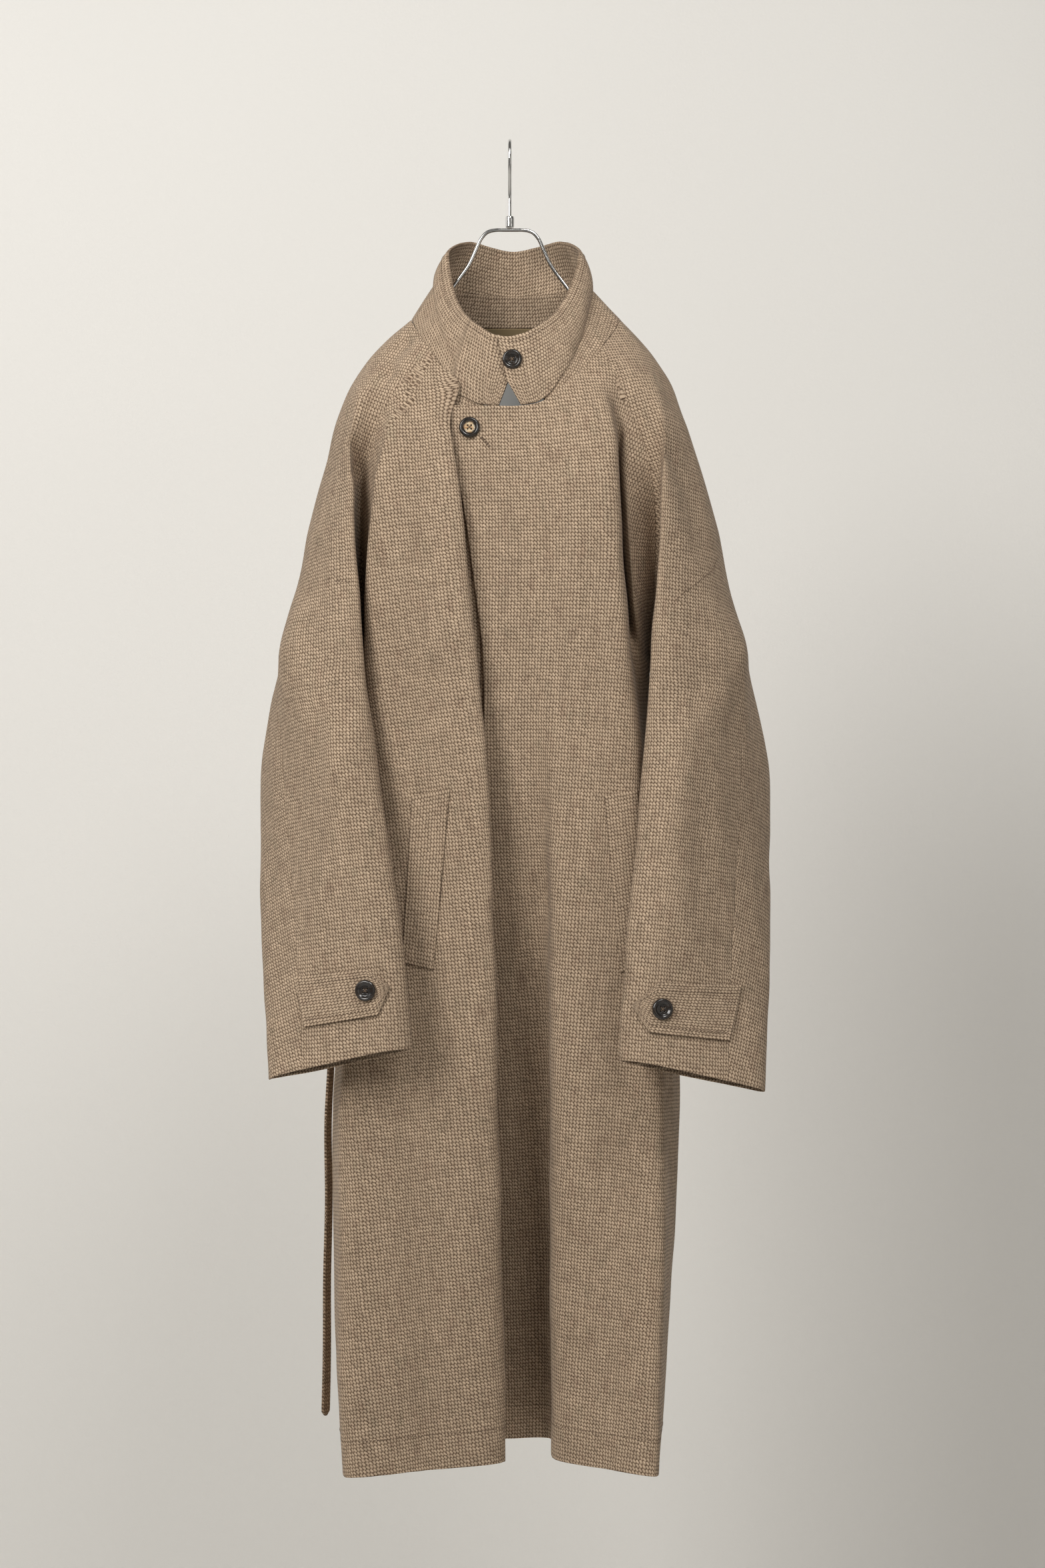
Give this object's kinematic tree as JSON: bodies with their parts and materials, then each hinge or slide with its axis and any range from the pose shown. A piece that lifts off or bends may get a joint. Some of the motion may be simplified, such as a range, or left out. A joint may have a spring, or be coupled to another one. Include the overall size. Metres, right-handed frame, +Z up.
{
  "type": "balmacaan coat on a hanger",
  "caption": "Long loose raglan-sleeved wool coat with a standing buttoned collar, slanted welt pockets and pointed cuff tabs, hanging from a thin chromed wire hanger.",
  "frame": {"origin": "the inside of the hanger hook's crown, where it rests on a rail", "axes": "+Z up, -Y the coat's front, +X the wearer's left side"},
  "size_m": [0.5537, 0.2878, 1.4277],
  "materials": {
    "coat_cloth": "matt nubby basket-woven wool in brown and ecru yarn",
    "lining_cloth": "smooth pale lining",
    "facing_cloth": "tan twill facing",
    "horn_button": "dark polished horn-like resin",
    "chrome_wire": "polished"
  },
  "bodies": {
    "root": {"front_left": "coat_cloth", "front_right": "coat_cloth", "back": "coat_cloth", "sleeve_front_left": "coat_cloth", "sleeve_back_left": "coat_cloth", "sleeve_front_right": "coat_cloth", "sleeve_back_right": "coat_cloth", "collar_leaf": "coat_cloth", "collar_stand": "coat_cloth", "welt_left": "coat_cloth", "welt_right": "coat_cloth", "cuff_tab_left": "coat_cloth", "cuff_tab_right": "coat_cloth", "tie_strap": "coat_cloth", "neck_facing": "facing_cloth", "back_lining": "lining_cloth", "button_neck": "horn_button", "button_front": "horn_button", "button_cuff_left": "horn_button", "button_cuff_right": "horn_button", "hanger_hook": "chrome_wire", "hanger_ferrule": "chrome_wire", "hanger_bow": "chrome_wire"}
  },
  "joints": []
}
